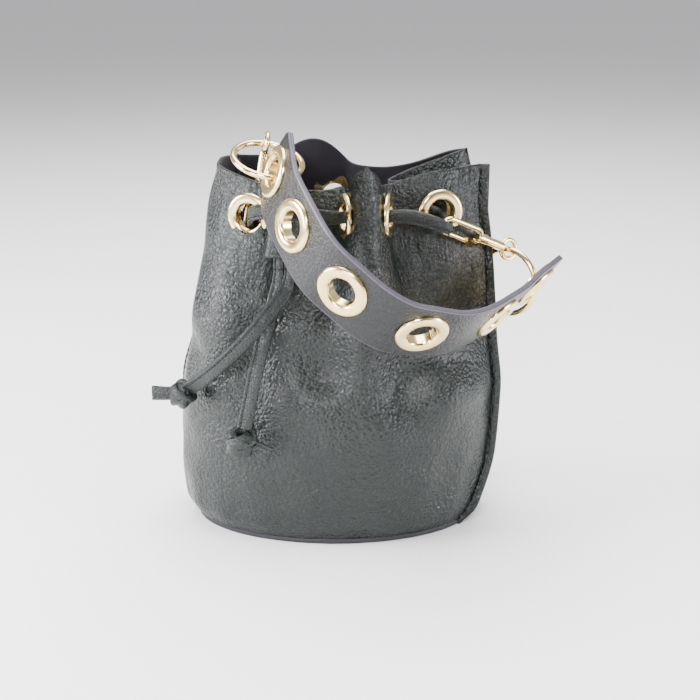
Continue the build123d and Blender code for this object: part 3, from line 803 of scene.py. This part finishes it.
def make_slider():
    """Leather keeper: a flattened sleeve, wider at its lower mouth, with a stitched lower band."""
    around, levels = 48, 22
    outer, inner = [], []
    for k in range(levels):
        t = k / (levels - 1)
        middle = SLIDER_TOP + SLIDER_DOWN * (SLIDER_START + SLIDER_LENGTH * t)
        wide = 8.6 + 1.8 * t ** 2 + 0.25 * math.sin(t * 9)
        deep = 4.3 + 0.3 * t
        for j in range(around):
            turn = 2 * math.pi * j / around
            c, s = math.cos(turn), math.sin(turn)
            x = math.copysign(abs(c) ** 0.72, c)
            y = math.copysign(abs(s) ** 0.72, s)
            outer.append(middle + np.array([x * wide, y * deep, 0]))
            inner.append(middle + np.array([x * (wide - SLIDER_WALL[0]), y * (deep - SLIDER_WALL[1]), 0]))
    count = around * levels
    faces = grid_faces(levels, around, wrap=True) + grid_faces(levels, around, count, flip=True, wrap=True)
    index = [0] * (len(faces) // 2) + [1] * (len(faces) // 2)
    for level in (0, levels - 1):
        for j in range(around):
            n = (j + 1) % around
            faces.append((level * around + j, level * around + n, count + level * around + n,
                          count + level * around + j))
            index.append(2)
    piece = make_mesh("keeper", outer + inner, faces, [lace_leather, inner_suede, raw_edge], index)
    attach(piece, "slider")
    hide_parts("lace_slider")
    stitches = []
    for k in range(-3, 4):
        foot = SLIDER_TOP + SLIDER_DOWN * 20.6 + np.array([k * 2.2, -4.75 + 0.02 * k * k, 0])
        stitches.append((foot - np.array([0.8, 0, 0]), foot + np.array([0.8, 0, 0])))
    capsules("keeper_thread", stitches, 0.3, "slider")


make_slider()

# ---- Strap ----
LEFT_END = np.array([-35.0, -46.0, 216.5])
RIGHT_END = np.array([111.0, -17.0, 146.5])
ALONG = (RIGHT_END - LEFT_END) / np.linalg.norm(RIGHT_END - LEFT_END)
ACROSS = np.array([0.455, -0.487, 0.746])
ACROSS = ACROSS - ALONG * ACROSS.dot(ALONG)
ACROSS /= np.linalg.norm(ACROSS)
UPRIGHT = np.cross(ACROSS, ALONG)
STRAP_EYELETS = [(0.0, 0.0, -78.0), (14.7, -34.0, -57.0), (46.0, -65.0, -28.0), (92.0, -71.5, 17.0),
                 (137.5, -37.5, 51.0), (163.5, 0.0, 55.0)]
STRAP_WIDTH, STRAP_THICK, STRAP_END = 40.0, 3.2, 13.0
STRAP_BARREL = 8.8
NEAR_CORNER, FAR_CORNER = 14.0, 2.5  # radii of the end corners on the bag's side and away from it


def strap_line():
    """Strap centre line in its own plane, flat for a little way at each eyelet: points and directions."""
    knots = []
    for number, (x, y, angle) in enumerate(STRAP_EYELETS):
        d = np.array([math.cos(math.radians(angle)), math.sin(math.radians(angle))])
        first = STRAP_END if number == 0 else 9.0
        last = STRAP_END if number == len(STRAP_EYELETS) - 1 else 9.0
        knots += [(np.array([x, y]) - d * first, d), (np.array([x, y]) + d * last, d)]
    points = []
    for (p, d), (q, e) in zip(knots, knots[1:]):
        chord = np.linalg.norm(q - p)
        for t in np.linspace(0, 1, max(4, int(chord / 0.9)), endpoint=False):
            points.append(p * (1 + 2 * t) * (1 - t) ** 2 + d * chord * t * (1 - t) ** 2
                          + q * t * t * (3 - 2 * t) + e * chord * t * t * (t - 1))
    points.append(knots[-1][0])
    points = np.array(points)
    direction = np.gradient(points, axis=0)
    direction /= np.linalg.norm(direction, axis=1)[:, None]
    return points, direction


def cut_back(distance, radius):
    """How far a rounded corner of the strap stands in from its side, this far from its end."""
    return radius - math.sqrt(max(0.0, radius ** 2 - max(0.0, radius - distance) ** 2))


def make_strap():
    points, direction = strap_line()
    half, thick = STRAP_WIDTH / 2, STRAP_THICK / 2
    wide = list(np.linspace(-half + 0.9, half - 0.9, 30))
    profile = [(w, -thick) for w in wide]
    profile += [(half - 0.25, -thick + 0.25), (half, -0.5), (half - 0.22, 0.0), (half, 0.5),
                (half - 0.25, thick - 0.25)]
    profile += [(w, thick) for w in reversed(wide)]
    profile += [(-half + 0.25, thick - 0.25), (-half, 0.5), (-half + 0.22, 0.0), (-half, -0.5),
                (-half + 0.25, -thick + 0.25)]
    travel = np.concatenate([[0], np.cumsum(np.linalg.norm(np.diff(points, axis=0), axis=1))])
    verts = []
    for p, d, here in zip(points, direction, travel):
        out = np.array([d[1], -d[0]])
        from_end = min(here, travel[-1] - here)
        near = cut_back(from_end, NEAR_CORNER)
        far = cut_back(from_end, FAR_CORNER)
        for w, t in profile:
            flat = p + out * t
            share = (w + half) / STRAP_WIDTH
            verts.append(LEFT_END + ALONG * flat[0] + UPRIGHT * flat[1]
                         + ACROSS * (-half + near + share * (STRAP_WIDTH - near - far)))
    count = len(profile)
    faces = grid_faces(len(points), count, wrap=True)
    edge_from, edge_to = len(wide) - 1, len(wide) + 5
    other_from = 2 * len(wide) + 4
    index = []
    for i in range(len(faces)):
        column = i % count
        index.append(1 if edge_from <= column < edge_to or column >= other_from else 0)
    for end, flip in ((0, True), (len(points) - 1, False)):
        loop = tuple(end * count + i for i in range(count))
        faces.append(loop[::-1] if flip else loop)
        index.append(1)
    piece = make_mesh("strap", verts, faces, [strap_face, strap_paint], index)
    holes = bpy.data.objects.new("strap_holes", bpy.data.meshes.new("strap_holes"))
    bpy.context.scene.collection.objects.link(holes)
    work = bmesh.new()
    for x, y, angle in STRAP_EYELETS:
        a = math.radians(angle)
        out = ALONG * math.sin(a) - UPRIGHT * math.cos(a)
        centre = (LEFT_END + ALONG * x + UPRIGHT * y) * MM
        rotation = Vector((0, 0, 1)).rotation_difference(Vector(out)).to_matrix().to_4x4()
        radius = STRAP_BARREL * MM
        bmesh.ops.create_cone(work, cap_ends=True, segments=64, radius1=radius, radius2=radius, depth=14 * MM,
                              matrix=Matrix.Translation(Vector(centre)) @ rotation)
    work.to_mesh(holes.data)
    work.free()
    cut = piece.modifiers.new("holes", "BOOLEAN")
    cut.operation, cut.solver, cut.object = "DIFFERENCE", "EXACT", holes
    bpy.context.view_layer.update()
    depsgraph = bpy.context.evaluated_depsgraph_get()
    solid = bpy.data.meshes.new_from_object(piece.evaluated_get(depsgraph))
    piece.modifiers.clear()
    piece.data = solid
    bpy.data.objects.remove(holes)
    shade_by_angle(piece, 40)
    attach(piece, "strap")
    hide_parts("strap_outer", "strap_inner")


def shade_by_angle(piece, degrees):
    """Smooth shading that stays sharp where faces meet at more than the angle."""
    mesh = piece.data
    mesh.polygons.foreach_set("use_smooth", [True] * len(mesh.polygons))
    work = bmesh.new()
    work.from_mesh(mesh)
    for edge in work.edges:
        edge.smooth = not (len(edge.link_faces) == 2 and edge.calc_face_angle(0) > math.radians(degrees))
    work.to_mesh(mesh)
    work.free()


make_strap()

# ---- Metal that comes from the CAD model ----
for node_name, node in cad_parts.items():
    if "eyelet" in node_name or "washer" in node_name:
        node.data.materials.clear()
        node.data.materials.append(gold_plate)
    elif node_name.endswith("_ring") or "_hook_" in node_name:
        node.data.materials.clear()
        node.data.materials.append(gold_ring)
    elif node_name == "base_panel":
        node.data.materials.clear()
        node.data.materials.append(plain_leather)


# ---- Floor, light and camera ----
def stage_material(name, tone):
    n = Nodes(name)
    return n.finish(tone, 0.9, specular=0.1)


FLOOR_HALF, FLOOR_Z = 40000, -0.3
corners = [(x * FLOOR_HALF, y * FLOOR_HALF, FLOOR_Z) for x, y in ((-1, -1), (1, -1), (1, 1), (-1, 1))]
floor = make_mesh("floor", corners, [(0, 1, 2, 3)], [stage_material("floor paper", (0.97, 0.97, 0.97))],
                  smooth=False)


def area_light(name, place, target, size, power, tint=(1, 1, 1)):
    data = bpy.data.lights.new(name, "AREA")
    data.shape, data.size, data.energy, data.color = "SQUARE", size, power, tint
    lamp = bpy.data.objects.new(name, data)
    lamp.location = place
    lamp.rotation_euler = (Vector(target) - Vector(place)).to_track_quat("-Z", "Y").to_euler()
    bpy.context.scene.collection.objects.link(lamp)


def studio_world():
    """White light tent: bright above and at the sides, dim towards the front, where the tent is open."""
    world = bpy.data.worlds.new("studio")
    world.use_nodes = True
    tree = world.node_tree
    direction = tree.nodes.new("ShaderNodeTexCoord").outputs["Generated"]
    parts = tree.nodes.new("ShaderNodeSeparateXYZ")
    tree.links.new(direction, parts.inputs[0])
    fade = tree.nodes.new("ShaderNodeMapRange")
    tree.links.new(parts.outputs["Y"], fade.inputs["Value"])
    for name, value in (("From Min", -0.95), ("From Max", -0.35), ("To Min", 0.0), ("To Max", 1.0)):
        fade.inputs[name].default_value = value
    mix = tree.nodes.new("ShaderNodeMix")
    mix.data_type = "RGBA"
    tree.links.new(fade.outputs[0], mix.inputs[0])
    mix.inputs[6].default_value = (0.16, 0.165, 0.17, 1.0)
    mix.inputs[7].default_value = (1.05, 1.04, 1.08, 1.0)
    tree.links.new(mix.outputs[2], tree.nodes["Background"].inputs["Color"])
    tree.nodes["Background"].inputs["Strength"].default_value = 0.60
    bpy.context.scene.world = world


studio_world()
area_light("left", (-0.95, -0.16, 0.42), (-0.02, 0, 0.12), 0.50, 24.0, (1.0, 0.99, 1.03))
area_light("right", (0.95, -0.34, 0.26), (0.02, 0, 0.10), 0.36, 9.0, (0.99, 0.98, 1.03))
area_light("front", (-0.12, -0.95, 0.66), (0, 0, 0.14), 0.26, 9.0, (1.0, 0.98, 1.01))
area_light("top", (0.0, 0.25, 1.5), (0, 0, 0.0), 1.3, 56.0)
area_light("low_left", (-0.55, -0.85, 0.30), (0, 0, 0.14), 0.30, 5.0, (1.0, 0.98, 1.02))

CAMERA_TILT = math.radians(17.0)
CAMERA_DISTANCE = 0.75
LOOK_AT = Vector((0.0, 0.0, 0.107))
camera_data = bpy.data.cameras.new("camera")
camera_data.lens = 64.3
camera_data.sensor_width = 36.0
camera_data.shift_x = 0.0114
camera_data.shift_y = -0.0114
camera = bpy.data.objects.new("camera", camera_data)
camera.location = LOOK_AT + Vector((0, -math.cos(CAMERA_TILT), math.sin(CAMERA_TILT))) * CAMERA_DISTANCE
camera.rotation_euler = (math.radians(90) - CAMERA_TILT, 0, 0)
bpy.context.scene.collection.objects.link(camera)
bpy.context.scene.camera = camera

bpy.context.view_layer.update()
